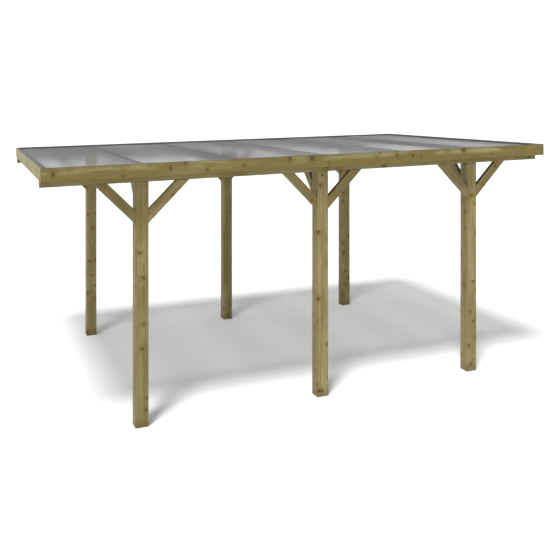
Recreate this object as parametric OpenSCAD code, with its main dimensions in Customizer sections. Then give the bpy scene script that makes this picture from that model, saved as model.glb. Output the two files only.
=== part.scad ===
// Six-post timber carport: two rows of square posts with knee braces carry a low,
// boxed roof frame that falls gently along its length and holds flat plastic sheets.
// Origin: centre of the post grid at ground level. +X runs along the length towards
// the roof's high end, the front row stands at -Y, and +Z is up. Millimetres.
// Roof parts are drawn in the roof's own level frame, whose z = 0 is the purlins'
// underside, and in_roof() then tips them to the roof's fall.

/* [Posts] */
// Side of the square posts
post_w = 120; // [100:5:160]
// Distance between neighbouring post centres along the length
bay_len = 1805; // [1400:5:2400]
// Distance between the centre lines of the two post rows
row_gap = 2870; // [2200:10:3600]
// Height of the purlins' underside above the ground at mid length
head_h = 2232; // [1900:1:2800]

/* [Roof frame] */
// Fall of the roof along its length, in degrees
pitch = 1; // [0:0.25:3]
// Overhang of the roof frame past the end posts' centres
end_overhang = 880; // [560:5:1200]
// Overhang of the roof frame past the centre lines of the post rows
side_overhang = 195; // [120:5:400]
// Thickness of the purlins
purlin_t = 60; // [40:5:80]
// Height of the purlins
purlin_h = 100; // [80:5:160]
// Thickness of the rafters
rafter_t = 45; // [35:5:80]
// Height of the rafters
rafter_h = 60; // [45:5:120]
// Thickness of the fascia boards
fascia_t = 20; // [16:1:28]
// Height of the fascia boards
fascia_h = 120; // [90:5:160]
// Stand of the fascia boards above the rafters' tops
fascia_rise = 15; // [10:1:30]

/* [Knee braces] */
// Thickness of the braces
brace_t = 45; // [35:5:60]
// Width of the braces
brace_w = 88; // [70:1:120]
// Reach of a brace along the length, down the post and out along the purlin
brace_leg = 373; // [250:1:500]
// Reach of a brace across the bay, down the post and in along the rafter
cross_leg = 420; // [250:1:500]

/* [Roof sheets and trim] */
// Thickness of the roof sheets
sheet_t = 6; // [3:1:9]
// Gap between neighbouring sheets over a rafter
sheet_gap = 4; // [2:1:10]
// Clearance between the sheets and the fascia boards
sheet_clear = 2; // [1:0.5:6]
// Thickness of the edge trim's legs
trim_t = 2; // [1.5:0.5:4]
// Gap between the end trims and the long trims
trim_gap = 1; // [0.5:0.5:3]

/* [Hidden] */

// Rows and columns of the post grid, and the two ends of the roof
FRONT = -1;
BACK = 1;
LEFT = -1;
MIDDLE = 0;
RIGHT = 1;
LOW = -1;
HIGH = 1;

// Overshoot of a cutting block past the face that it cuts
over = 1;

// Number of roof bays, with a rafter at each end of each bay and two bays to a post bay
roof_bays = 6;

// The roof frame's outline, and the clear space inside its fascia boards
frame_len = 2 * (bay_len + end_overhang);
frame_wid = row_gap + 2 * side_overhang;
inner_len = frame_len - 2 * fascia_t;
inner_wid = frame_wid - 2 * fascia_t;

// Levels in the roof's own frame, up from the purlins' underside
rafter_top = purlin_h + rafter_h;
sheet_top = rafter_top + sheet_t;
fascia_top = rafter_top + fascia_rise;
fascia_low = fascia_top - fascia_h;
stack_h = fascia_top + trim_t;

// Outer faces of the posts, where the purlins and the long braces lie flush
post_face_y = row_gap / 2 + post_w / 2;

// A level that no post reaches before it is cut
post_blank_h = head_h + stack_h + frame_len * sin(pitch);

// Width of a brace measured along its upright or level cut, at 45 degrees
brace_cut = brace_w * sqrt(2);

// Height of the purlins' underside above the ground at a place along the length
function underside(x) = head_h + x * tan(pitch);

// Centre of a rafter, counted from 0 at the low end
function rafter_x(i) =
    i == 0 ? -(inner_len - rafter_t) / 2 :
    i == roof_bays ? (inner_len - rafter_t) / 2 :
    (i - roof_bays / 2) * bay_len / 2;

// Edges of a sheet, counted from 0 at the low end: over a rafter's centre line or at a fascia
function sheet_start(i) =
    i == 0 ? sheet_clear - inner_len / 2 : rafter_x(i) + sheet_gap / 2;
function sheet_end(i) =
    i == roof_bays - 1 ? inner_len / 2 - sheet_clear : rafter_x(i + 1) - sheet_gap / 2;

// Places what is drawn in the roof's own frame: tipped about the frame's middle
module in_roof() {
    translate([0, 0, head_h + stack_h / 2])
        rotate([0, -pitch, 0])
            translate([0, 0, -stack_h / 2])
                children();
}

// All the space above a level of the roof's own frame, for cutting timbers to the fall
module roof_space(level) {
    in_roof()
        translate([-frame_len, -frame_wid, level])
            cube([2 * frame_len, 2 * frame_wid, frame_len]);
}

// The strip that a purlin's thickness takes up in a post row, reaching out past the posts
module purlin_strip(row) {
    y = row == BACK ? post_face_y - purlin_t : -post_face_y - over;
    in_roof()
        translate([-frame_len, y, 0])
            cube([2 * frame_len, purlin_t + over, frame_len]);
}

// A square post, housed on its outer side for the purlin, with its inner half standing
// up behind the purlin to the rafter
module post(column, row) {
    color("darkkhaki")
        difference() {
            translate([column * bay_len - post_w / 2, row * row_gap / 2 - post_w / 2, 0])
                cube([post_w, post_w, post_blank_h]);
            roof_space(purlin_h);
            purlin_strip(row);
        }
}

// A purlin along a post row, with its ends cut back at the top for the end fascia boards
module purlin(row) {
    y = row == BACK ? post_face_y - purlin_t : -post_face_y;
    color("darkkhaki")
        in_roof()
            difference() {
                translate([-frame_len / 2, y, 0])
                    cube([frame_len, purlin_t, purlin_h]);
                for (end = [LOW, HIGH]) {
                    x = end == LOW ? -frame_len / 2 - over : inner_len / 2;
                    translate([x, y - over, fascia_low])
                        cube([fascia_t + over, purlin_t + 2 * over, fascia_h]);
                }
            }
}

// A rafter across the purlins, from fascia board to fascia board
module rafter(i) {
    color("tan")
        in_roof()
            translate([rafter_x(i) - rafter_t / 2, -inner_wid / 2, purlin_h])
                cube([rafter_t, inner_wid, rafter_h]);
}

// A long fascia board over the rafters' ends
module long_fascia(row) {
    y = row == BACK ? inner_wid / 2 : -frame_wid / 2;
    color("darkkhaki")
        in_roof()
            translate([-frame_len / 2, y, fascia_low])
                cube([frame_len, fascia_t, fascia_h]);
}

// An end fascia board between the long ones, against the end rafter
module end_fascia(end) {
    x = end == HIGH ? inner_len / 2 : -frame_len / 2;
    color("darkkhaki")
        in_roof()
            translate([x, -inner_wid / 2, fascia_low])
                cube([fascia_t, inner_wid, fascia_h]);
}

// A brace blank at 45 degrees: it leaves an upright face at x = 0, from as far below a
// corner at the origin as its leg, and runs up and out along +X past that corner's level
module brace_blank(leg) {
    reach = leg + brace_cut;
    rotate([90, 0, 0])
        linear_extrude(height = brace_t, center = true)
            polygon([
                [0, -leg],
                [reach, reach - leg],
                [reach, reach - leg + brace_cut],
                [0, brace_cut - leg]
            ]);
}

// A brace along the length, from a post's side up to the purlin, flush with both outside
module long_brace(column, row, end) {
    x = column * bay_len + end * post_w / 2;
    color("tan")
        difference() {
            translate([x, row * (post_face_y - brace_t / 2), underside(x)])
                rotate([0, 0, end == HIGH ? 0 : 180])
                    brace_blank(brace_leg);
            roof_space(0);
        }
}

// A brace across the bay, from a post's inner side up to the rafter above the post
module cross_brace(column, row) {
    x = column * bay_len;
    color("tan")
        difference() {
            translate([x, row * (row_gap - post_w) / 2, underside(x) + purlin_h])
                rotate([0, 0, row == FRONT ? 90 : -90])
                    brace_blank(cross_leg);
            roof_space(purlin_h);
        }
}

// A flat roof sheet from rafter to rafter
module roof_sheet(i) {
    color("slategray")
        in_roof()
            translate([sheet_start(i), sheet_clear - inner_wid / 2, rafter_top])
                cube([sheet_end(i) - sheet_start(i), inner_wid - 2 * sheet_clear, sheet_t]);
}

// An angle trim along +X: one leg lies on a fascia board that starts at y = 0, and the
// other drops behind that board onto the sheets
module trim_angle(top_len, drop_len) {
    translate([-top_len / 2, 0, fascia_top])
        cube([top_len, fascia_t + trim_t, trim_t]);
    translate([-drop_len / 2, fascia_t, sheet_top])
        cube([drop_len, trim_t, stack_h - sheet_top]);
}

// The dark trim on all four fascia boards, with the end trims between the long ones
module edge_trim() {
    end_len = inner_wid - 2 * (trim_t + trim_gap);
    color("dimgray")
        in_roof()
            for (turn = [0, 180]) {
                rotate([0, 0, turn])
                    translate([0, -frame_wid / 2, 0])
                        trim_angle(frame_len, inner_len);
                rotate([0, 0, turn + 90])
                    translate([0, -frame_len / 2, 0])
                        trim_angle(end_len, end_len);
            }
}

post(LEFT, FRONT);  // post_front_left
post(MIDDLE, FRONT);  // post_front_middle
post(RIGHT, FRONT);  // post_front_right
post(LEFT, BACK);  // post_back_left
post(MIDDLE, BACK);  // post_back_middle
post(RIGHT, BACK);  // post_back_right
purlin(FRONT);  // purlin_front
purlin(BACK);  // purlin_back
rafter(0);  // rafter_1
rafter(1);  // rafter_2
rafter(2);  // rafter_3
rafter(3);  // rafter_4
rafter(4);  // rafter_5
rafter(5);  // rafter_6
rafter(6);  // rafter_7
long_fascia(FRONT);  // fascia_front
long_fascia(BACK);  // fascia_back
end_fascia(LOW);  // fascia_low_end
end_fascia(HIGH);  // fascia_high_end
long_brace(LEFT, FRONT, LOW);  // brace_front_left_low
long_brace(LEFT, FRONT, HIGH);  // brace_front_left_high
cross_brace(LEFT, FRONT);  // brace_front_left_cross
long_brace(MIDDLE, FRONT, LOW);  // brace_front_middle_low
long_brace(MIDDLE, FRONT, HIGH);  // brace_front_middle_high
cross_brace(MIDDLE, FRONT);  // brace_front_middle_cross
long_brace(RIGHT, FRONT, LOW);  // brace_front_right_low
long_brace(RIGHT, FRONT, HIGH);  // brace_front_right_high
cross_brace(RIGHT, FRONT);  // brace_front_right_cross
long_brace(LEFT, BACK, LOW);  // brace_back_left_low
long_brace(LEFT, BACK, HIGH);  // brace_back_left_high
cross_brace(LEFT, BACK);  // brace_back_left_cross
long_brace(MIDDLE, BACK, LOW);  // brace_back_middle_low
long_brace(MIDDLE, BACK, HIGH);  // brace_back_middle_high
cross_brace(MIDDLE, BACK);  // brace_back_middle_cross
long_brace(RIGHT, BACK, LOW);  // brace_back_right_low
long_brace(RIGHT, BACK, HIGH);  // brace_back_right_high
cross_brace(RIGHT, BACK);  // brace_back_right_cross
roof_sheet(0);  // roof_sheet_1
roof_sheet(1);  // roof_sheet_2
roof_sheet(2);  // roof_sheet_3
roof_sheet(3);  // roof_sheet_4
roof_sheet(4);  // roof_sheet_5
roof_sheet(5);  // roof_sheet_6
edge_trim();
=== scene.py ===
"""Six-post timber carport with a boxed, glazed flat roof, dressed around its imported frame.

Every timber of the frame is replaced by a planed piece with rounded arrises that carries its
own grain coordinates, so that one solid-wood pattern runs true over faces, ends and knots.
The roof sheets and the edge trim keep their frame shapes and get their finishes here.
Metres throughout: +X runs along the roof to its high end, the front row is at -Y, +Z is up.
"""

import logging
import math
import random
from collections.abc import Iterator, Sequence
from dataclasses import dataclass, replace
from enum import Enum
from functools import reduce

import bmesh
import bpy
from mathutils import Matrix, Vector


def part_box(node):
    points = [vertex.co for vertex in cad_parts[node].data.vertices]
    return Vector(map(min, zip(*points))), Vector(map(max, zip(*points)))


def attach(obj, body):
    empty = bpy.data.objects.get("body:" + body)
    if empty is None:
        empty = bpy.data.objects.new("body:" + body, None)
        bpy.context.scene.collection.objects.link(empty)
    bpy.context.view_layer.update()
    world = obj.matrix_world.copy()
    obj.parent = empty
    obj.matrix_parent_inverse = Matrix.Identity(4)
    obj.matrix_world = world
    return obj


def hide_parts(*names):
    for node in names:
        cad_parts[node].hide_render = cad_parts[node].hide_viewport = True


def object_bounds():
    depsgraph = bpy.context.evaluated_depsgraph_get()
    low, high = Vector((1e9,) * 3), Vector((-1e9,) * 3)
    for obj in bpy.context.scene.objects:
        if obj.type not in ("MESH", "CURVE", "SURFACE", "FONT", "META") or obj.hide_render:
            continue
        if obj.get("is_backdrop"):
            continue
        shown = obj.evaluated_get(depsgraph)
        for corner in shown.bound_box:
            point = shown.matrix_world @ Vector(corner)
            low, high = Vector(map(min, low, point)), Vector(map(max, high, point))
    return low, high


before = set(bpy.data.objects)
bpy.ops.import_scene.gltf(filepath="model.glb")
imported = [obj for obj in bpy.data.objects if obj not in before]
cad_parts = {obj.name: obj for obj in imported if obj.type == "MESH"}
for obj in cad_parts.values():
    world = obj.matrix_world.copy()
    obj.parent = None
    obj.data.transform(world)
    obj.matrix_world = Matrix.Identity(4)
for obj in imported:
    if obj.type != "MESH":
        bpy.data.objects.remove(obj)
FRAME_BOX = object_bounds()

log = logging.getLogger("carport")

Colour = tuple[float, float, float, float]
Triple = tuple[float, float, float]
Pair = tuple[float, float]
Place = tuple[Vector, Vector]
Shape = bmesh.types.BMesh
Material = bpy.types.Material
Socket = bpy.types.NodeSocket
Outputs = bpy.types.NodeOutputs
Inputs = Sequence[object] | dict[str | int, object]

BODY = "root"
GRAIN_ATTRIBUTE = "grain"
TRAIT_ATTRIBUTE = "trait"
MERGE_DISTANCE = 1e-5
# How far the boards' outer faces are dressed back, to keep screws' heads in the frame's box.
DRESSED_DEPTH = 0.0007
# Places of the Mix node's sockets that mix colours.
MIX_SHARE, MIX_FIRST, MIX_SECOND, MIX_RESULT = 0, 6, 7, 2


class Axis(Enum):
    """Level and upright ways that a timber's grain can run."""

    UP = (0.0, 0.0, 1.0)
    ACROSS = (0.0, 1.0, 0.0)

    @property
    def way(self) -> Vector:
        """Return the axis as a vector."""
        return Vector(self.value)


class Heart(Enum):
    """How far a tree's heart lies from a timber's middle, from least to most."""

    BOXED = (0.004, 0.018)
    HALVED = (0.030, 0.055)
    OUTSIDE = (0.046, 0.056)
    FAR = (0.120, 0.160)


class Spot(Enum):
    """A place whose name the frame's nodes spell in small letters."""

    @property
    def word(self) -> str:
        """Return the place's name as the frame's nodes spell it."""
        return self.name.lower()


class Row(Spot):
    """The two rows of posts, with the side of the middle line that each is on."""

    FRONT = -1
    BACK = 1

    @property
    def out(self) -> Vector:
        """Return the way out from the carport's middle line."""
        return Vector((0.0, self.value, 0.0))


class Column(Spot):
    """The places of the posts in a row."""

    LEFT = -1
    MIDDLE = 0
    RIGHT = 1


class End(Spot):
    """The roof's two ends, with the side that each is on."""

    LOW = -1
    HIGH = 1

    @property
    def way(self) -> Vector:
        """Return the level way towards the end."""
        return Vector((self.value, 0.0, 0.0))


# ---- shader graphs ----


@dataclass
class Graph:
    """A node tree with short ways to add and join nodes.

    Attributes:
        tree: The shader node tree that is being filled.
    """

    tree: bpy.types.NodeTree

    def add(self, kind: str, inputs: Inputs = (), **settings: object) -> bpy.types.Node:
        """Add a node, set its plain properties and feed its inputs.

        Args:
            kind: The node's type name.
            inputs: What feeds its inputs, in their order or by name: sockets or plain values.
            **settings: Properties to set on the node.

        Returns:
            The new node.
        """
        node = self.tree.nodes.new(kind)
        for key, value in settings.items():
            setattr(node, key, value)
        for key, value in inputs.items() if isinstance(inputs, dict) else enumerate(inputs):
            if isinstance(value, bpy.types.NodeSocket):
                self.tree.links.new(value, node.inputs[key])
            else:
                node.inputs[key].default_value = value
        return node

    def math(self, operation: str, *values: object, clamp: bool = False) -> Socket:
        """Combine one to three numbers by a Math node's operation."""
        return self.add("ShaderNodeMath", values, operation=operation, use_clamp=clamp).outputs[0]

    def product(self, first: object, *others: object) -> Socket:
        """Return the product of two or more numbers."""
        return reduce(lambda so_far, other: self.math("MULTIPLY", so_far, other), others, first)

    def total(self, start: object, traits: dict[str, object], gains: dict[str, float]) -> Socket:
        """Return a number with some of the traits added to it, each times its gain."""
        return reduce(lambda so_far, name: self.math("MULTIPLY_ADD", traits[name], gains[name],
                                                     so_far), gains, start)

    def remainder(self, value: object) -> Socket:
        """Return what a value leaves of 1."""
        return self.math("SUBTRACT", 1.0, value)

    def vector(self, operation: str, *values: object) -> Socket:
        """Combine vectors by a Vector Math node's operation, which may give a number."""
        node = self.add("ShaderNodeVectorMath", values, operation=operation)
        return node.outputs["Value" if operation in ("LENGTH", "DOT_PRODUCT") else "Vector"]

    def split(self, vector: object) -> tuple[Socket, ...]:
        """Return the X, Y and Z sockets of a vector."""
        return tuple(self.add("ShaderNodeSeparateXYZ", (vector,)).outputs)

    def join(self, x: object, y: object, z: object) -> Socket:
        """Return a vector socket made of three numbers."""
        return self.add("ShaderNodeCombineXYZ", (x, y, z)).outputs[0]

    def fade(self, value: object, edge: Pair) -> Socket:
        """Run smoothly from 0 at the edge's first value to 1 at its second."""
        inputs = {"Value": value, "From Min": edge[0], "From Max": edge[1]}
        return self.add("ShaderNodeMapRange", inputs, interpolation_type="SMOOTHSTEP").outputs[0]

    def spread(self, value: object, span: Pair) -> Socket:
        """Spread a value evenly so that 0 gives the span's first value and 1 its second."""
        inputs = {"Value": value, "To Min": span[0], "To Max": span[1]}
        return self.add("ShaderNodeMapRange", inputs).outputs[0]

    def cloud(self, place: object, grains: Triple, detail: float) -> Outputs:
        """Return the outputs of a noise texture that can be drawn out along an axis.

        Args:
            place: The coordinates' socket, in metres.
            grains: Grains to the metre along each axis.
            detail: Octaves of finer noise.

        Returns:
            The texture's outputs, by name.
        """
        grained = self.vector("MULTIPLY", place, grains)
        inputs = {"Vector": grained, "Scale": 1.0, "Detail": detail}
        return self.add("ShaderNodeTexNoise", inputs).outputs

    def noise(self, place: object, grains: Triple, detail: float = 2.0) -> Socket:
        """Return noise between 0 and 1, with the arguments of cloud."""
        return self.cloud(place, grains, detail)["Fac"]

    def drift(self, place: object, grains: Triple, reach: Triple, detail: float = 2.0) -> Socket:
        """Return a vector that wanders by up to half its reach, with the arguments of cloud."""
        centred = self.vector("SUBTRACT", self.cloud(place, grains, detail)["Color"], (0.5,) * 3)
        return self.vector("MULTIPLY", centred, reach)

    def mix(self, share: object, first: object, second: object) -> Socket:
        """Mix two colours by the share of the second."""
        inputs = {MIX_SHARE: share, MIX_FIRST: first, MIX_SECOND: second}
        return self.add("ShaderNodeMix", inputs, data_type="RGBA").outputs[MIX_RESULT]

    def bump(self, height: object, depth: float, strength: float) -> Socket:
        """Return a normal roughened by a height whose unit is depth metres."""
        inputs = {"Strength": strength, "Distance": depth, "Height": height}
        return self.add("ShaderNodeBump", inputs).outputs["Normal"]

    def attribute(self, name: str) -> Socket:
        """Return the vector socket of a mesh attribute."""
        return self.add("ShaderNodeAttribute", attribute_name=name).outputs["Vector"]

    def coordinates(self, kind: str = "Object") -> Socket:
        """Return one kind of Texture Coordinate's socket."""
        return self.add("ShaderNodeTexCoord").outputs[kind]

    def shader(self, kind: str, inputs: Inputs) -> Socket:
        """Add a shader, named without the usual start of its type."""
        return self.add(f"ShaderNode{kind}", inputs).outputs[0]

    def either(self, share: object, first: Socket, second: Socket) -> Socket:
        """Mix two shaders by the share of the second."""
        return self.shader("MixShader", (share, first, second))

    def show(self, shader: Socket, owner: str = "Material") -> None:
        """Show a shader on the surface of its material or world."""
        self.add(f"ShaderNodeOutput{owner}", {"Surface": shader})


def start_material(name: str) -> tuple[Material, Graph]:
    """Make an empty node material.

    Args:
        name: The material's name.

    Returns:
        The material and the graph of its nodes.
    """
    made = bpy.data.materials.new(name)
    made.use_nodes = True
    made.node_tree.nodes.clear()
    return made, Graph(made.node_tree)


class Effect:
    """A node group with named sockets, built once and placed in each material that uses it."""

    title: str
    inputs: dict[str, str]
    outputs: dict[str, str]

    def tree(self) -> bpy.types.NodeTree:
        """Return the group's tree, built the first time."""
        ready = bpy.data.node_groups.get(self.title)
        if ready is not None:
            return ready
        made = bpy.data.node_groups.new(self.title, "ShaderNodeTree")
        for way, sockets in (("INPUT", self.inputs), ("OUTPUT", self.outputs)):
            for name, kind in sockets.items():
                made.interface.new_socket(name, in_out=way, socket_type=f"NodeSocket{kind}")
        graph = Graph(made)
        given = graph.add("NodeGroupInput").outputs
        graph.add("NodeGroupOutput", self.wire(graph, given))
        return made

    def wire(self, graph: Graph, given: Outputs) -> dict[str, Socket]:
        """Fill the group.

        Args:
            graph: The group's own graph.
            given: The group's inputs, by name.

        Returns:
            What feeds each output, by name.
        """
        raise NotImplementedError

    def place(self, graph: Graph, **values: object) -> Outputs:
        """Use the group.

        Args:
            graph: The graph to place it in.
            **values: Input values by name, with underscores for spaces.

        Returns:
            The group's outputs, by name.
        """
        inputs = {name.replace("_", " "): value for name, value in values.items()}
        return graph.add("ShaderNodeGroup", inputs, node_tree=self.tree()).outputs


class KnotEffect(Effect):
    """Branch knots: spokes out from the heart, found as cells around a unit ring."""

    title = "timber_knots"
    inputs = {"Place": "Vector", "Spacing": "Float", "Radius": "Float"}
    outputs = {"Core": "Float", "Halo": "Float", "Rings": "Float"}

    ring_reach = 0.8
    ring_slack = 0.30
    share_hidden = 0.30
    size_span = (0.45, 1.25)
    full_size_at = 0.070
    least_growth = 0.55
    most_growth = 1.25
    core_edge = (0.75, 1.10)
    halo_edge = (0.80, 3.60)
    ring_turns = 15.0
    wobble = 0.0035
    wobble_grains = 60.0

    def wire(self, graph: Graph, given: Outputs) -> dict[str, Socket]:
        """Fill the group: each knot is a spoke of its own thickness, ringed like its branch."""
        shift = graph.drift(given["Place"], (self.wobble_grains,) * 3, (self.wobble,) * 3)
        along, side, rise = graph.split(graph.vector("ADD", given["Place"], shift))
        across = graph.join(0.0, side, rise)
        heart_distance = graph.vector("LENGTH", across)
        spoke = graph.vector("NORMALIZE", across)
        ring = graph.vector("MULTIPLY", spoke, (0.0, self.ring_reach, self.ring_reach))
        station = graph.join(graph.math("DIVIDE", along, given["Spacing"]), 0.0, 0.0)
        cells = graph.add("ShaderNodeTexVoronoi",
                          {"Vector": graph.vector("ADD", ring, station), "Scale": 1.0}).outputs
        knot_station, knot_side, knot_rise = graph.split(cells["Position"])
        knot_across = graph.join(0.0, knot_side, knot_rise)
        knot_spoke = graph.vector("NORMALIZE", knot_across)
        luck_size, luck_shown, _ = graph.split(cells["Color"])

        miss = graph.math("SUBTRACT", graph.vector("LENGTH", knot_across), self.ring_reach)
        on_ring = graph.math("LESS_THAN", graph.math("ABSOLUTE", miss), self.ring_slack)
        shown = graph.math("GREATER_THAN", luck_shown, self.share_hidden)
        present = graph.product(on_ring, shown)

        offset_along = graph.math("SUBTRACT", along,
                                  graph.product(knot_station, given["Spacing"]))
        bend = graph.vector("LENGTH", graph.vector("CROSS_PRODUCT", spoke, knot_spoke))
        offset_side = graph.product(bend, heart_distance)
        offset = graph.vector("LENGTH", graph.join(offset_along, offset_side, 0.0))
        growth = graph.math("DIVIDE", heart_distance, self.full_size_at)
        growth = graph.math("MAXIMUM", growth, self.least_growth)
        growth = graph.math("MINIMUM", growth, self.most_growth)
        size = graph.product(given["Radius"], graph.spread(luck_size, self.size_span))
        offset = graph.math("DIVIDE", offset, graph.product(size, growth))

        core = graph.remainder(graph.fade(offset, self.core_edge))
        halo = graph.remainder(graph.fade(offset, self.halo_edge))
        wave = graph.math("SINE", graph.product(offset, self.ring_turns))
        return {
            "Core": graph.product(core, present),
            "Halo": graph.product(halo, present),
            "Rings": graph.math("MULTIPLY_ADD", wave, 0.5, 0.5),
        }


class GrainEffect(Effect):
    """Growth rings around the heart, fine fibres, stripes, browner heartwood and drying checks."""

    title = "timber_grain"
    inputs = {"Place": "Vector", "Ring Width": "Float", "Bend": "Float"}
    outputs = {"Rings": "Float", "Fibre": "Float", "Stripe": "Float", "Heartwood": "Float",
               "Check": "Float"}

    wander = 0.030
    wander_grains = (0.9, 5.0, 5.0)
    wander_detail = 2.5
    knot_push = 1.6
    heart_grains = (1.1, 14.0, 14.0)
    heart_ripple = 0.060
    heart_edge = (0.075, 0.115)
    late_rise = (0.20, 0.82)
    late_fall = (0.90, 1.0)
    vigour_grains = (0.37, 1.0, 1.0)
    vigour_span = (0.35, 1.45)
    check_grains = (0.8, 34.0, 34.0)
    check_edge = (0.0015, 0.006)
    checked_grains = (1.3, 9.0, 9.0)
    checked_edge = (0.60, 0.68)
    fibre_grains = (7.0, 520.0, 520.0)
    stripe_grains = (0.55, 30.0, 30.0)

    def wire(self, graph: Graph, given: Outputs) -> dict[str, Socket]:
        """Fill the group: rings wander along the trunk and swing out around knots."""
        place = given["Place"]
        sway = graph.drift(place, self.wander_grains, (0.0, self.wander, self.wander),
                           self.wander_detail)
        across = graph.vector("MULTIPLY", graph.vector("ADD", place, sway), (0.0, 1.0, 1.0))
        depth = graph.vector("LENGTH", across)
        uneven = graph.noise(place, self.heart_grains)
        sapwood = graph.fade(graph.math("MULTIPLY_ADD", uneven, self.heart_ripple, depth),
                             self.heart_edge)
        rings = graph.math("DIVIDE", depth, given["Ring Width"])
        rings = graph.math("MULTIPLY_ADD", given["Bend"], self.knot_push, rings)
        year = graph.math("FRACT", rings)
        late = graph.product(graph.fade(year, self.late_rise),
                             graph.remainder(graph.fade(year, self.late_fall)))
        vigour = graph.noise(graph.join(rings, 0.0, 0.0), self.vigour_grains, 1.0)
        late = graph.math("MULTIPLY", late, graph.spread(vigour, self.vigour_span), clamp=True)

        crack = graph.math("SUBTRACT", graph.noise(place, self.check_grains, 1.0), 0.5)
        crack = graph.remainder(graph.fade(graph.math("ABSOLUTE", crack), self.check_edge))
        cracked = graph.fade(graph.noise(place, self.checked_grains, 0.0), self.checked_edge)
        return {
            "Rings": late,
            "Fibre": graph.noise(place, self.fibre_grains, 3.0),
            "Stripe": graph.noise(place, self.stripe_grains),
            "Heartwood": graph.remainder(sapwood),
            "Check": graph.product(crack, cracked),
        }


class WeatherEffect(Effect):
    """Uneven tone over a piece: blotches, and damp drawn up where a foot stands on the ground."""

    title = "weather"
    inputs = {"Place": "Vector", "Ground": "Vector"}
    outputs = {"Blotch": "Float", "Damp": "Float"}

    blotch_grains = (2.2, 11.0, 11.0)
    damp_edge = (0.0, 0.09)
    tide_reach = 0.10
    tide_drop = -0.03

    def wire(self, graph: Graph, given: Outputs) -> dict[str, Socket]:
        """Fill the group from the piece's own coordinates and its height above the ground."""
        blotch = graph.noise(given["Place"], self.blotch_grains, 3.0)
        height = graph.split(given["Ground"])[2]
        tide = graph.math("MULTIPLY_ADD", blotch, self.tide_reach, self.tide_drop)
        low = graph.math("SUBTRACT", height, tide)
        return {"Blotch": blotch, "Damp": graph.remainder(graph.fade(low, self.damp_edge))}


KNOTS = KnotEffect()
GRAIN = GrainEffect()
WEATHER = WeatherEffect()


# ---- finishes ----


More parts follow.
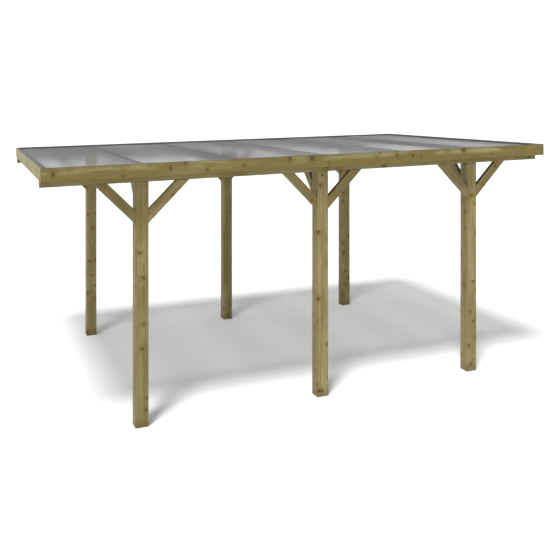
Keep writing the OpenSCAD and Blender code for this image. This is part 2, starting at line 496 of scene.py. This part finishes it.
@dataclass(frozen=True)
class TimberFinish:
    """Pressure-treated pine: greenish tan with brown late wood, knots and sawn ends.

    Attributes:
        name: The material's name.
        slot: The record's material slot.
        early: Colour of the pale early wood.
        late: Colour of the late wood's bands.
        stain: Colour of the treatment salts' broad stripes.
        knot: Colour of a knot's wood.
        heart: Colour of the heartwood.
        knot_spacing: Length of trunk over which the knots' places are drawn.
        knot_radius: Usual radius of a knot.
        stripe_share: How strongly the stain's stripes show.
        heart_share: How strongly the heartwood shows.
        gold_share: How strongly the richer patches show on a timber of middling tone.
    """

    name: str
    slot: str
    early: Colour
    late: Colour
    stain: Colour
    knot: Colour = (0.050, 0.028, 0.002, 1.0)
    heart: Colour = (0.165, 0.115, 0.034, 1.0)
    knot_spacing: float = 0.13
    knot_radius: float = 0.0155
    stripe_share: float = 0.75
    heart_share: float = 0.55
    gold_share: float = 0.60

    # Resin around knots, richer wood in darker patches, and painted shade on faces that look up.
    halo = (0.155, 0.097, 0.009, 1.0)
    gold = (0.185, 0.140, 0.020, 1.0)
    grime = (0.045, 0.040, 0.025, 1.0)
    ring_width = 0.0062
    # Where the stripes, the richer patches and the painted shade on upward faces begin and end.
    stripe_edge = (0.34, 0.66)
    patch_edge = (0.38, 0.58)
    grime_edge = (0.25, 0.60)
    # How much more of the richer patches the darkest timbers show.
    dark_gain = 2.1
    # Shares of colours laid over each other.
    late_share = 0.62
    resin_share = 0.70
    pith_share = 0.65
    core_share = 0.92
    grime_share = 0.90
    # Brightness where each trait is absent and where it is full; the darker arrises are painted
    # edge shade.
    lights = {"Fibre": (0.84, 1.16), "Blotch": (0.66, 1.34), "Tone": (0.82, 1.22),
              "End": (1.0, 0.72), "Arris": (1.0, 0.78), "Damp": (1.0, 0.74),
              "Check": (1.0, 0.35)}
    # Roughness over the fibres' span, and what other traits add to it.
    fibre_rough = (0.50, 0.66)
    roughs = {"Grime": 0.35, "End": 0.15, "Core": -0.04}
    # Heights that traits add to the fibres', and the relief's depth and strength.
    heights = {"Rings": 0.35, "Check": -2.5, "Core": 0.3}
    relief_depth = 0.0006
    relief_share = 0.55

    def material(self) -> Material:
        """Return the material, with its pattern in the timbers' own coordinates."""
        made, graph = start_material(self.name)
        place = graph.attribute(GRAIN_ATTRIBUTE)
        tone, end_grain, arris = graph.split(graph.attribute(TRAIT_ATTRIBUTE))
        knots = KNOTS.place(graph, Place=place, Spacing=self.knot_spacing,
                            Radius=self.knot_radius)
        grain = GRAIN.place(graph, Place=place, Ring_Width=self.ring_width, Bend=knots["Halo"])
        weather = WEATHER.place(graph, Place=place, Ground=graph.coordinates())
        # Painted shade: faces that look up are darkened, and made rougher.
        grime = graph.fade(graph.split(graph.coordinates("Normal"))[2], self.grime_edge)
        traits = {"Tone": tone, "End": end_grain, "Arris": arris, "Grime": grime,
                  "Core": knots["Core"], "Blotch": weather["Blotch"], "Damp": weather["Damp"],
                  "Fibre": grain["Fibre"], "Rings": grain["Rings"], "Check": grain["Check"]}

        stripe = graph.fade(grain["Stripe"], self.stripe_edge)
        patch = graph.remainder(graph.fade(weather["Blotch"], self.patch_edge))
        rich = graph.product(patch, graph.spread(tone, (self.gold_share * self.dark_gain, 0.0)))
        pith = graph.mix(knots["Rings"], self.knot, self.halo)
        pith = graph.mix(self.pith_share, pith, self.knot)
        wood = self.early
        for mask, share, colour in (
            (stripe, self.stripe_share, self.stain),
            (grain["Heartwood"], self.heart_share, self.heart),
            (rich, 1.0, self.gold),
            (grain["Rings"], self.late_share, self.late),
            (knots["Halo"], self.resin_share, self.halo),
            (knots["Core"], self.core_share, pith),
        ):
            wood = graph.mix(graph.product(mask, share), wood, colour)
        # Painted edge shade darkens the arrises; the other traits are the wood's own tones.
        light = graph.product(*(graph.spread(traits[name], span)
                                for name, span in self.lights.items()))
        wood = graph.vector("MULTIPLY", wood, graph.join(light, light, light))

        relief = graph.total(grain["Fibre"], traits, self.heights)
        # The base colour carries the painted shade on faces that look up.
        graph.show(graph.shader("BsdfPrincipled", {
            "Base Color": graph.mix(graph.product(grime, self.grime_share), wood, self.grime),
            "Roughness": graph.total(graph.spread(grain["Fibre"], self.fibre_rough), traits,
                                     self.roughs),
            "Normal": graph.bump(relief, self.relief_depth, self.relief_share),
        }))
        return made


@dataclass(frozen=True)
class SheetFinish:
    """Smooth smoke-grey glazing sheet that bows a little, with streaks of dust and painted sheen,
    and painted shade over the rafters.

    Attributes:
        bay: Distance between the rafters under the sheets' bands of painted shade.
        laps: How many rafters have a band of painted shade over them.
        clean: Colour that the clean sheet lets through, and the bright bands of the painted sheen.
        dusty: Colour that it lets through under dust, and the dim bands of the painted sheen.
        lap: Colour that it lets through over a rafter, as painted shade of the rafter below.
        lamp_share: Share of lamplight that each face lets down to the ground.
    """

    bay: float
    laps: int
    clean: Colour = (0.80, 0.81, 0.82, 1.0)
    dusty: Colour = (0.62, 0.63, 0.63, 1.0)
    lap: Colour = (0.36, 0.36, 0.35, 1.0)
    lamp_share: Colour = (0.525, 0.525, 0.525, 1.0)

    # Grains to the metre of the streaks of dust and painted sheen, the specks and the bows, and
    # where they begin.
    streak_grains = (2.3, 0.42, 1.0)
    streak_edge = (0.40, 0.62)
    speck_grains = (160.0, 160.0, 160.0)
    speck_edge = (0.62, 0.80)
    speck_share = 0.5
    bow_grains = (1.5, 0.35, 1.0)
    bow = 0.006
    rough = 0.04
    refraction = 1.25
    # Where the painted shade over a rafter ends, and how far its edge wanders.
    lap_edge = (0.05, 0.13)
    lap_wander = 0.10

    def material(self) -> Material:
        """Return the material, which lets lamps through so that its shadow is soft."""
        made, graph = start_material("smoke_grey_sheet")
        place = graph.coordinates()
        along = graph.split(place)[0]
        # Streaks drawn out along the rafters: dust, and a painted sheen of lighter and darker
        # bands; fine specks are dust.
        dust_sheen_streak = graph.noise(place, self.streak_grains)
        speck = graph.fade(graph.noise(place, self.speck_grains, 1.0), self.speck_edge)
        dust_and_sheen = graph.math("MAXIMUM", graph.fade(dust_sheen_streak, self.streak_edge),
                          graph.product(speck, self.speck_share))
        tint = graph.mix(dust_and_sheen, self.clean, self.dusty)
        # Painted shade: the sheet is darker over each inner rafter.
        to_rafter = graph.math("PINGPONG", along, self.bay / 2)
        to_rafter = graph.math("MULTIPLY_ADD", dust_sheen_streak, self.lap_wander, to_rafter)
        inner = graph.math("LESS_THAN", graph.math("ABSOLUTE", along), self.bay * self.laps / 2)
        lap = graph.product(graph.remainder(graph.fade(to_rafter, self.lap_edge)), inner)
        wave = graph.noise(place, self.bow_grains, 0.0)
        surface = graph.shader("BsdfPrincipled", {
            "Base Color": graph.mix(lap, tint, self.lap),
            "Roughness": self.rough,
            "IOR": self.refraction,
            "Transmission Weight": 1.0,
            "Normal": graph.bump(wave, self.bow, 1.0),
        })
        clear = graph.shader("BsdfTransparent", {"Color": self.lamp_share})
        path = graph.add("ShaderNodeLightPath").outputs
        for kind in ("Is Shadow Ray", "Is Diffuse Ray"):
            surface = graph.either(path[kind], surface, clear)
        graph.show(surface)
        return made


@dataclass(frozen=True)
class CoatedFinish:
    """An even coated surface with fine mottling and uneven gloss, for metal and its coats.

    Attributes:
        name: The material's name.
        colour: The coat's own colour.
        worn: Its colour where it is chalked or rubbed.
        metal: How metallic it is.
        rough: Its least roughness.
    """

    name: str
    colour: Colour
    worn: Colour
    metal: float
    rough: float

    mottle_grains = (900.0, 900.0, 900.0)
    mottle_span = (0.4, 1.0)
    mottle_rough = 0.20
    mottle_depth = 0.0001
    mottle_relief = 0.4
    wear_edge = (0.42, 0.72)

    def material(self) -> Material:
        """Return the material, mottled in Object coordinates."""
        made, graph = start_material(self.name)
        place = graph.coordinates()
        weather = WEATHER.place(graph, Place=place, Ground=place)
        mottle = graph.noise(place, self.mottle_grains)
        wear = graph.product(graph.fade(weather["Blotch"], self.wear_edge),
                             graph.spread(mottle, self.mottle_span))
        graph.show(graph.shader("BsdfPrincipled", {
            "Base Color": graph.mix(wear, self.colour, self.worn),
            "Metallic": self.metal,
            "Roughness": graph.math("MULTIPLY_ADD", mottle, self.mottle_rough, self.rough),
            "Normal": graph.bump(mottle, self.mottle_depth, self.mottle_relief),
        }))
        return made


@dataclass(frozen=True)
class FloorFinish:
    """Plain pale studio floor.

    Attributes:
        pale: The floor's colour.
        grey: The colour of its faint unevenness.
    """

    pale: Colour = (0.90, 0.90, 0.90, 1.0)
    grey: Colour = (0.885, 0.885, 0.885, 1.0)

    cloud_grains = (0.4, 0.4, 0.4)

    def material(self) -> Material:
        """Return the matt floor material."""
        made, graph = start_material("pale_floor")
        cloud = graph.noise(graph.coordinates(), self.cloud_grains)
        graph.show(graph.shader("BsdfDiffuse", {"Color": graph.mix(cloud, self.pale, self.grey)}))
        return made


# ---- pieces ----


def add_object(name: str, shape: Shape, material: Material) -> bpy.types.Object:
    """Turn a finished shape into an object of the scene.

    Args:
        name: The object's name.
        shape: The shape, which is freed.
        material: The object's finish.

    Returns:
        The object, at the origin with its place in its mesh.
    """
    mesh = bpy.data.meshes.new(name)
    shape.to_mesh(mesh)
    shape.free()
    mesh.materials.append(material)
    made = bpy.data.objects.new(name, mesh)
    bpy.context.scene.collection.objects.link(made)
    return made


@dataclass(frozen=True)
class Timber:
    """One planed timber that stands for a frame node.

    Attributes:
        node: The frame node's name.
        run: The direction of its grain.
        heart: Where the tree's heart lies in its section.
        arris: Radius of the rounded long edges.
        saw_edge: Radius of the eased edges at its cut ends.
        tone: How pale the timber is, from 0 to 1, or none for any tone.
        heart_side: The way to the tree's heart, or none for any way.
        outside: The way that its dressed outer face looks, or none where it has none.
    """

    node: str
    run: Vector
    heart: Heart
    arris: float = 0.005
    saw_edge: float = 0.0012
    tone: float | None = None
    heart_side: Vector | None = None
    outside: Vector | None = None

    corner_angle = math.radians(15.0)
    flat_angle = math.radians(0.5)
    same_way = math.cos(math.radians(4.0))
    end_way = math.cos(math.radians(50.0))
    segments = 4
    # Spans that missing tones and places along the trunk are drawn from.
    tones = (0.2, 0.8)
    trunk = (-40.0, 40.0)

    def build(self, material: Material, slot: str) -> bpy.types.Object:
        """Make the piece from the node's own shape.

        Args:
            material: The finish.
            slot: The record's material slot; not used.

        Returns:
            The finished object, riding on the frame.
        """
        shape = bmesh.new()
        shape.from_mesh(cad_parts[self.node].data)
        bmesh.ops.remove_doubles(shape, verts=shape.verts, dist=MERGE_DISTANCE)
        bmesh.ops.dissolve_limit(shape, angle_limit=self.flat_angle, verts=shape.verts,
                                 edges=shape.edges)
        self.dress_back(shape)
        self.ease(shape, along=True, radius=self.arris, segments=self.segments)
        self.ease(shape, along=False, radius=self.saw_edge, segments=1)
        bmesh.ops.recalc_face_normals(shape, faces=shape.faces)
        self.mark(shape)
        piece = add_object(f"{self.node}_planed", shape, material)
        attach(piece, BODY)
        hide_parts(self.node)
        return piece

    def dress_back(self, shape: Shape) -> None:
        """Move the outer face in by what its screws' heads stand out.

        Args:
            shape: The timber.
        """
        if self.outside is None:
            return
        faces = [face for face in shape.faces if face.normal.dot(self.outside) > self.same_way]
        corners = list({vert for face in faces for vert in face.verts})
        bmesh.ops.translate(shape, verts=corners, vec=-self.outside * DRESSED_DEPTH)

    def ease(self, shape: Shape, along: bool, radius: float, segments: int) -> None:
        """Round the sharp edges that run along the grain, or the ones at the cut ends.

        Args:
            shape: The timber.
            along: Whether to round the edges along the grain.
            radius: Their radius.
            segments: The flats in a round.
        """
        edges = [
            edge for edge in shape.edges
            if edge.is_manifold
            and edge.calc_face_angle(0.0) > self.corner_angle
            and self.runs_along(edge) == along
        ]
        bmesh.ops.bevel(shape, geom=edges, offset=radius, offset_type="OFFSET",
                        segments=segments, profile=0.5, affect="EDGES", clamp_overlap=True,
                        material=-1)

    def runs_along(self, edge: bmesh.types.BMEdge) -> bool:
        """Return whether an edge runs along the grain."""
        way = (edge.verts[1].co - edge.verts[0].co).normalized()
        return abs(way.dot(self.run)) > self.same_way

    def mark(self, shape: Shape) -> None:
        """Store each point's place in the tree and each face's tone, end grain and arris.

        Args:
            shape: The timber.
        """
        luck = random.Random(self.node)
        place_layer = shape.verts.layers.float_vector.new(GRAIN_ATTRIBUTE)
        trait_layer = shape.faces.layers.float_vector.new(TRAIT_ATTRIBUTE)
        middle = sum((vert.co for vert in shape.verts), Vector()) / len(shape.verts)
        turn = self.run.to_track_quat("X", "Z").inverted()
        bearing = luck.uniform(0.0, math.tau)
        away = Vector((0.0, math.cos(bearing), math.sin(bearing)))
        if self.heart_side is not None:
            away = -(turn @ self.heart_side)
        heart = away.normalized() * luck.uniform(*self.heart.value)
        heart.x = luck.uniform(*self.trunk)
        for vert in shape.verts:
            vert[place_layer] = turn @ (vert.co - middle) + heart
        tone = luck.uniform(*self.tones) if self.tone is None else self.tone
        for face in shape.faces:
            is_end = abs(face.normal.dot(self.run)) > self.end_way
            narrow = min(edge.calc_length() for edge in face.edges) < self.arris
            face[trait_layer] = Vector((tone, float(is_end), float(narrow and not is_end)))


@dataclass(frozen=True)
class Screws:
    """Countersunk screws whose heads lie flush with the timber, joined into one mesh.

    Attributes:
        head: Radius of a head.
        sides: Sides of a head's round.
        stand: How far a head stands out of the wood.
        depth: Length of the modelled stub under the head.
        recess: Radius of the drive recess as a share of the head.
        recess_wall: How far the recess narrows to its floor, as a share of the head.
        recess_depth: Depth of the drive recess.
    """

    head: float = 0.0048
    sides: int = 12
    stand: float = 0.0006
    depth: float = 0.003
    recess: float = 0.52
    recess_wall: float = 0.04
    recess_depth: float = 0.0018

    def build(self, name: str, places: list[Place], material: Material) -> None:
        """Make one mesh of screws and report it.

        Args:
            name: The piece's name.
            places: Each screw's point on the timber's face, and the way that the face looks.
            material: The screws' finish.
        """
        shape = bmesh.new()
        for point, out in places:
            self.add(shape, point, out)
        piece = add_object(name, shape, material)
        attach(piece, BODY)
        log.info("%s: %d screws", name, len(places))

    def add(self, shape: Shape, point: Vector, out: Vector) -> None:
        """Add one screw head.

        Args:
            shape: The mesh that gathers the screws.
            point: The point on the timber's face.
            out: The way that the face looks.
        """
        turn = out.to_track_quat("Z", "X").to_matrix().to_4x4()
        lift = Matrix.Translation(point + out * (self.stand - self.depth / 2))
        made = bmesh.ops.create_cone(shape, cap_ends=True, segments=self.sides,
                                     radius1=self.head / 2, radius2=self.head,
                                     depth=self.depth, matrix=lift @ turn)
        top = max({face for vert in made["verts"] for face in vert.link_faces},
                  key=lambda face: face.normal.dot(out) * face.calc_area())
        bmesh.ops.inset_individual(shape, faces=[top], thickness=self.head * (1 - self.recess))
        bmesh.ops.inset_individual(shape, faces=[top], thickness=self.head * self.recess_wall,
                                   depth=-self.recess_depth)


@dataclass(frozen=True)
class Roof:
    """The roof's slope, and where its rafters stand.

    Attributes:
        rafters: How many rafters there are.
    """

    rafters: int = 7

    @property
    def slope(self) -> float:
        """The angle by which the front fascia board's top edge rises along the roof."""
        low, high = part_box("fascia_front")
        corners = [vert.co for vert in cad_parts["fascia_front"].data.vertices]
        left, right = (max(co.z for co in corners if co.x * end.value > 0.0) for end in End)
        return math.atan2(right - left, high.x - low.x)

    @property
    def run(self) -> Vector:
        """The way along the roof, up its slope."""
        return Vector((math.cos(self.slope), 0.0, math.sin(self.slope)))

    @property
    def up(self) -> Vector:
        """The way square out of the roof."""
        return Vector((-math.sin(self.slope), 0.0, math.cos(self.slope)))

    def station(self, number: int) -> Vector:
        """Return the middle of a rafter, counted from 1 at the low end."""
        low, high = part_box(f"rafter_{number}")
        return (low + high) / 2

    @property
    def bay(self) -> float:
        """The distance between the rafters beside the roof's middle."""
        middle = (self.rafters + 1) // 2
        return self.station(middle + 1).x - self.station(middle).x


@dataclass(frozen=True)
class TimberWork:
    """All timbers of one kind: their nodes, grain, edges and finish.

    Attributes:
        finish: Their finish.
        timbers: The timbers to make.
    """

    finish: TimberFinish
    timbers: Iterator[Timber]

    def build(self) -> None:
        """Make every timber of this kind and report it."""
        material = self.finish.material()
        for timber in self.timbers:
            piece = timber.build(material, self.finish.slot)
            log.info("%s: %d faces", piece.name, len(piece.data.polygons))


def brace_levels(row: Row) -> dict[str, Vector]:
    """Return the level way that each brace of a row's posts reaches."""
    return {"low": End.LOW.way, "high": End.HIGH.way, "cross": -row.out}


@dataclass(frozen=True)
class FrameTimbers:
    """The carport's timbers by kind, with the run of each one's grain.

    Attributes:
        roof: The roof that they carry.
        front_tones: How pale the front row's posts are, from the low end on.
        back_tones: How pale the back row's posts are, from the low end on.
        end_tone: How pale the end boards are.
    """

    roof: Roof
    front_tones: Triple = (0.35, 0.78, 0.72)
    back_tones: Triple = (0.68, 0.40, 0.52)
    end_tone: float = 0.95

    # Radii of the long edges, and how far in and down from a board its tree's heart lay.
    post_arris = 0.0035
    purlin_arris = 0.004
    bearer_arris = 0.003
    board_arris = 0.002
    heart_in = 0.6
    heart_down = 0.8

    def posts(self) -> Iterator[Timber]:
        """Yield the six posts, sawn around the heart, each with its own tone."""
        for row, tones in ((Row.FRONT, self.front_tones), (Row.BACK, self.back_tones)):
            for column, tone in zip(Column, tones):
                yield Timber(f"post_{row.word}_{column.word}", Axis.UP.way, Heart.BOXED,
                             arris=self.post_arris, tone=tone)

    def beams(self) -> Iterator[Timber]:
        """Yield the two purlins and the rafters."""
        for row in Row:
            yield Timber(f"purlin_{row.word}", self.roof.run, Heart.HALVED,
                         arris=self.purlin_arris)
        for number in range(1, self.roof.rafters + 1):
            yield Timber(f"rafter_{number}", Axis.ACROSS.way, Heart.HALVED,
                         arris=self.bearer_arris)

    def boards(self) -> Iterator[Timber]:
        """Yield the fascia boards, sawn from outside the heart."""
        for row in Row:
            yield Timber(f"fascia_{row.word}", self.roof.run, Heart.OUTSIDE,
                         arris=self.board_arris, heart_side=self.low_and_in(row.out),
                         outside=row.out)
        for end in End:
            outside = self.roof.run * end.value
            yield Timber(f"fascia_{end.word}_end", Axis.ACROSS.way, Heart.FAR,
                         arris=self.board_arris, tone=self.end_tone,
                         heart_side=self.low_and_in(outside), outside=outside)

    def low_and_in(self, outside: Vector) -> Vector:
        """Return the way down and in from a board, where its tree's heart lay."""
        return (-self.heart_in * outside - self.heart_down * self.roof.up).normalized()

    def braces(self) -> Iterator[Timber]:
        """Yield the three knee braces of each post."""
        for row in Row:
            for column in Column:
                for kind, level in brace_levels(row).items():
                    yield Timber(f"brace_{row.word}_{column.word}_{kind}",
                                 (level + Axis.UP.way).normalized(), Heart.HALVED,
                                 arris=self.bearer_arris)


@dataclass(frozen=True)
class Fixings:
    """Where the screws are: in brace ends, at the post heads and in the fascia boards.

    Attributes:
        roof: The roof that the boards follow.
        screws: The screws to use.
        brace_inset: Distance of a brace's outer screw from the tip of its underside.
        brace_step: Distance between the two screws at a brace's end.
        board_spread: Half the distance between the two screws of a pair in a board.
        board_pairs: Pairs of screws along an end board.
    """

    roof: Roof
    screws: Screws = Screws()
    brace_inset: float = 0.042
    brace_step: float = 0.030
    board_spread: float = 0.016
    board_pairs: int = 6

    # Steps along and up from a post head's middle to its screws, and a step's lengths.
    head_pattern = ((-1.0, 1.0), (1.0, 1.0), (0.0, -0.7))
    head_spread = 0.034
    head_rise = 0.0255

    def build(self, material: Material) -> None:
        """Make every group of screws, each as one joined mesh."""
        for row in Row:
            self.screws.build(f"screws_heads_{row.word}", list(self.heads(row)), material)
            self.screws.build(f"screws_board_{row.word}", list(self.long_board(row)), material)
            for column in Column:
                self.screws.build(f"screws_braces_{row.word}_{column.word}",
                                  list(self.braces(row, column)), material)
        for end in End:
            self.screws.build(f"screws_board_{end.word}_end", list(self.end_board(end)),
                              material)

    def heads(self, row: Row) -> Iterator[Place]:
        """Yield the three screws through the purlin into each post's head."""
        low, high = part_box(f"purlin_{row.word}")
        face = low.y if row is Row.FRONT else high.y
        middle = (low + high) / 2
        for column in Column:
            post_low, post_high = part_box(f"post_{row.word}_{column.word}")
            x = (post_low.x + post_high.x) / 2
            z = middle.z + (x - middle.x) * math.tan(self.roof.slope)
            for over, up in self.head_pattern:
                yield Vector((x + over * self.head_spread, face,
                              z + up * self.head_rise)), row.out

    def braces(self, row: Row, column: Column) -> Iterator[Place]:
        """Yield the two screws at each end of a post's braces, on their undersides."""
        for kind, level in brace_levels(row).items():
            low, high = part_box(f"brace_{row.word}_{column.word}_{kind}")
            middle = (low + high) / 2
            reach = level * abs(level.dot(high - low)) / 2
            foot = middle - reach
            foot.z = low.z
            tip = middle + reach
            tip.z = high.z
            way = (tip - foot).normalized()
            out = way.cross(level.cross(way)).normalized()
            out = -out if out.z > 0.0 else out
            for count in range(2):
                step = way * (self.brace_inset + count * self.brace_step)
                yield foot + step, out
                yield tip - step, out

    def long_board(self, row: Row) -> Iterator[Place]:
        """Yield the pairs of screws through a long board into the rafters' ends."""
        low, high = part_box(f"fascia_{row.word}")
        face = (low.y + DRESSED_DEPTH) if row is Row.FRONT else (high.y - DRESSED_DEPTH)
        for number in range(1, self.roof.rafters + 1):
            middle = self.roof.station(number)
            yield from self.pair(Vector((middle.x, face, middle.z)), row.out)

    def end_board(self, end: End) -> Iterator[Place]:
        """Yield the pairs of screws along an end board into the end rafter."""
        middle = self.roof.station(1 if end is End.LOW else self.roof.rafters)
        low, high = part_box(f"fascia_{end.word}_end")
        out = self.roof.run * end.value
        gap = (high.y - low.y) / self.board_pairs
        # The board leans with the roof, so its box is wider than the board is thick.
        lean = (high.z - low.z) * math.sin(self.roof.slope)
        thick = (high.x - low.x - lean) / math.cos(self.roof.slope)
        face = out.dot((low + high) / 2) + thick / 2 - DRESSED_DEPTH
        for count in range(self.board_pairs):
            centre = Vector((middle.x, low.y + (count + 0.5) * gap, middle.z))
            for point, way in self.pair(centre, out):
                yield point + way * (face - way.dot(point)), way

    def pair(self, centre: Vector, out: Vector) -> Iterator[Place]:
        """Yield two screws, one below and one above a centre."""
        for up in (-1.0, 1.0):
            yield centre + self.roof.up * up * self.board_spread, out


def dress_node(name: str, material: Material) -> None:
    """Give a frame node that keeps its shape a finish.

    Args:
        name: The node's name.
        material: Its finish.
    """
    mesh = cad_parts[name].data
    mesh.materials.clear()
    mesh.materials.append(material)
    log.info("%s: dressed", name)


# ---- studio ----


@dataclass(frozen=True)
class Studio:
    """The floor, the lights and the camera.

    Attributes:
        floor_reach: Half the floor's width.
        eye: The camera's place.
        heading: The camera's turn from +Y towards +X, in degrees.
        lens: Focal length in millimetres, on a sensor of 36.
        drop: Vertical shift of the picture.
        key_from: The way from the carport to the key light.
        key_power: Strength of the key light.
        key_width: Angle that the key light spans, in degrees.
        far_way: The level way from the key's side to the far side.
        far_share: Brightness of the far side's soft light, as a share of the near side's.
    """

    floor_reach: float = 140.0
    eye: Triple = (-3.256, -8.030, 2.888)
    heading: float = 22.92
    lens: float = 47.77
    drop: float = -0.31
    key_from: Triple = (-0.328, -0.3625, 1.0)
    key_power: float = 3.0
    key_width: float = 12.5
    far_way: Triple = (0.62, 0.785, 0.0)
    far_share: float = 0.62

    # Heights between which the sky's soft light grows and fades, its span of brightness,
    # where the far side begins, the plain backdrop's brightness, and how far the camera sees.
    glow_from = (0.03, 0.30)
    glow_to = (0.50, 0.85)
    glow = (0.43, 0.95)
    far_edge = (-0.30, 0.40)
    backdrop = 1.1
    clip_end = 400.0

    def build(self) -> None:
        """Set up the whole studio."""
        self.floor()
        self.key()
        self.sky()
        self.camera()

    def floor(self) -> None:
        """Lay the pale floor level with the posts' feet."""
        shape = bmesh.new()
        bmesh.ops.create_grid(shape, x_segments=2, y_segments=2, size=self.floor_reach)
        floor = add_object("floor", shape, FloorFinish().material())
        floor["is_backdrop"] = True

    def key(self) -> None:
        """Hang the soft key light up to the front left."""
        light = bpy.data.lights.new("key", "SUN")
        light.energy = self.key_power
        light.angle = math.radians(self.key_width)
        lamp = bpy.data.objects.new("key", light)
        lamp.rotation_mode = "QUATERNION"
        lamp.rotation_quaternion = Vector(self.key_from).to_track_quat("Z", "Y")
        bpy.context.scene.collection.objects.link(lamp)

    def sky(self) -> None:
        """Surround the studio with soft light that dims towards the horizon."""
        world = bpy.data.worlds.new("studio")
        world.use_nodes = True
        world.node_tree.nodes.clear()
        graph = Graph(world.node_tree)
        way = graph.coordinates("Generated")
        height = graph.split(way)[2]
        glow = graph.math("SUBTRACT", graph.fade(height, self.glow_from),
                          graph.fade(height, self.glow_to))
        ahead = graph.fade(graph.vector("DOT_PRODUCT", way, self.far_way), self.far_edge)
        strength = graph.product(graph.spread(glow, self.glow),
                                 graph.spread(ahead, (1.0, self.far_share)))
        soft, plain = (
            graph.shader("Background", {"Color": (1.0,) * 4, "Strength": power})
            for power in (strength, self.backdrop)
        )
        path = graph.add("ShaderNodeLightPath").outputs
        seen = graph.math("MAXIMUM", path["Is Camera Ray"], path["Is Transmission Ray"])
        graph.show(graph.either(seen, soft, plain), "World")
        bpy.context.scene.world = world

    def camera(self) -> None:
        """Stand the level camera at the front left, with its picture shifted down."""
        data = bpy.data.cameras.new("camera")
        data.lens = self.lens
        data.shift_y = self.drop
        data.clip_end = self.clip_end
        camera = bpy.data.objects.new("camera", data)
        camera.location = self.eye
        camera.rotation_euler = (math.radians(90.0), 0.0, -math.radians(self.heading))
        bpy.context.scene.collection.objects.link(camera)
        bpy.context.scene.camera = camera
        bpy.context.scene.view_settings.view_transform = "Standard"


def write_sizes() -> None:
    """Measure the frame's box and the dressed model's box."""
    boxes = {"cad": FRAME_BOX, "visual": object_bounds()}
    {name: [list(corner) for corner in box] for name, box in boxes.items()}


def main() -> None:
    """Build the carport's pieces in order, then the studio."""
    logging.basicConfig(level=logging.INFO, format="%(name)s: %(message)s")
    roof = Roof()
    timbers = FrameTimbers(roof)
    post_wood = TimberFinish("post_pine", "post_timber", early=(0.28, 0.235, 0.100, 1.0),
                             late=(0.125, 0.083, 0.014, 1.0), stain=(0.170, 0.155, 0.050, 1.0),
                             knot_radius=0.018, stripe_share=0.9)
    frame_wood = TimberFinish("frame_pine", "frame_timber", early=(0.27, 0.225, 0.094, 1.0),
                              late=(0.13, 0.088, 0.018, 1.0), stain=(0.185, 0.165, 0.058, 1.0))
    board_wood = TimberFinish("fascia_pine", "fascia_timber", early=(0.30, 0.268, 0.115, 1.0),
                              late=(0.14, 0.102, 0.024, 1.0), stain=(0.21, 0.190, 0.068, 1.0),
                              heart=(0.145, 0.096, 0.014, 1.0), heart_share=0.92,
                              knot=(0.045, 0.026, 0.002, 1.0), gold_share=0.75,
                              knot_spacing=0.15, knot_radius=0.015)
    brace_wood = replace(frame_wood, name="brace_pine", slot="brace_timber", knot_spacing=0.20)
    TimberWork(post_wood, timbers.posts()).build()
    TimberWork(frame_wood, timbers.beams()).build()
    TimberWork(board_wood, timbers.boards()).build()
    TimberWork(brace_wood, timbers.braces()).build()
    sheet = SheetFinish(roof.bay, roof.rafters - 2).material()
    for number in range(1, roof.rafters):
        dress_node(f"roof_sheet_{number}", sheet)
    trim = CoatedFinish("dark_trim", (0.125, 0.120, 0.100, 1.0), (0.17, 0.165, 0.140, 1.0),
                        0.0, 0.40)
    dress_node("edge_trim", trim.material())
    zinc = CoatedFinish("screw_coat", (0.20, 0.17, 0.09, 1.0), (0.11, 0.09, 0.05, 1.0), 0.6, 0.45)
    Fixings(roof).build(zinc.material())
    Studio().build()
    write_sizes()


if __name__ == "__main__":
    main()
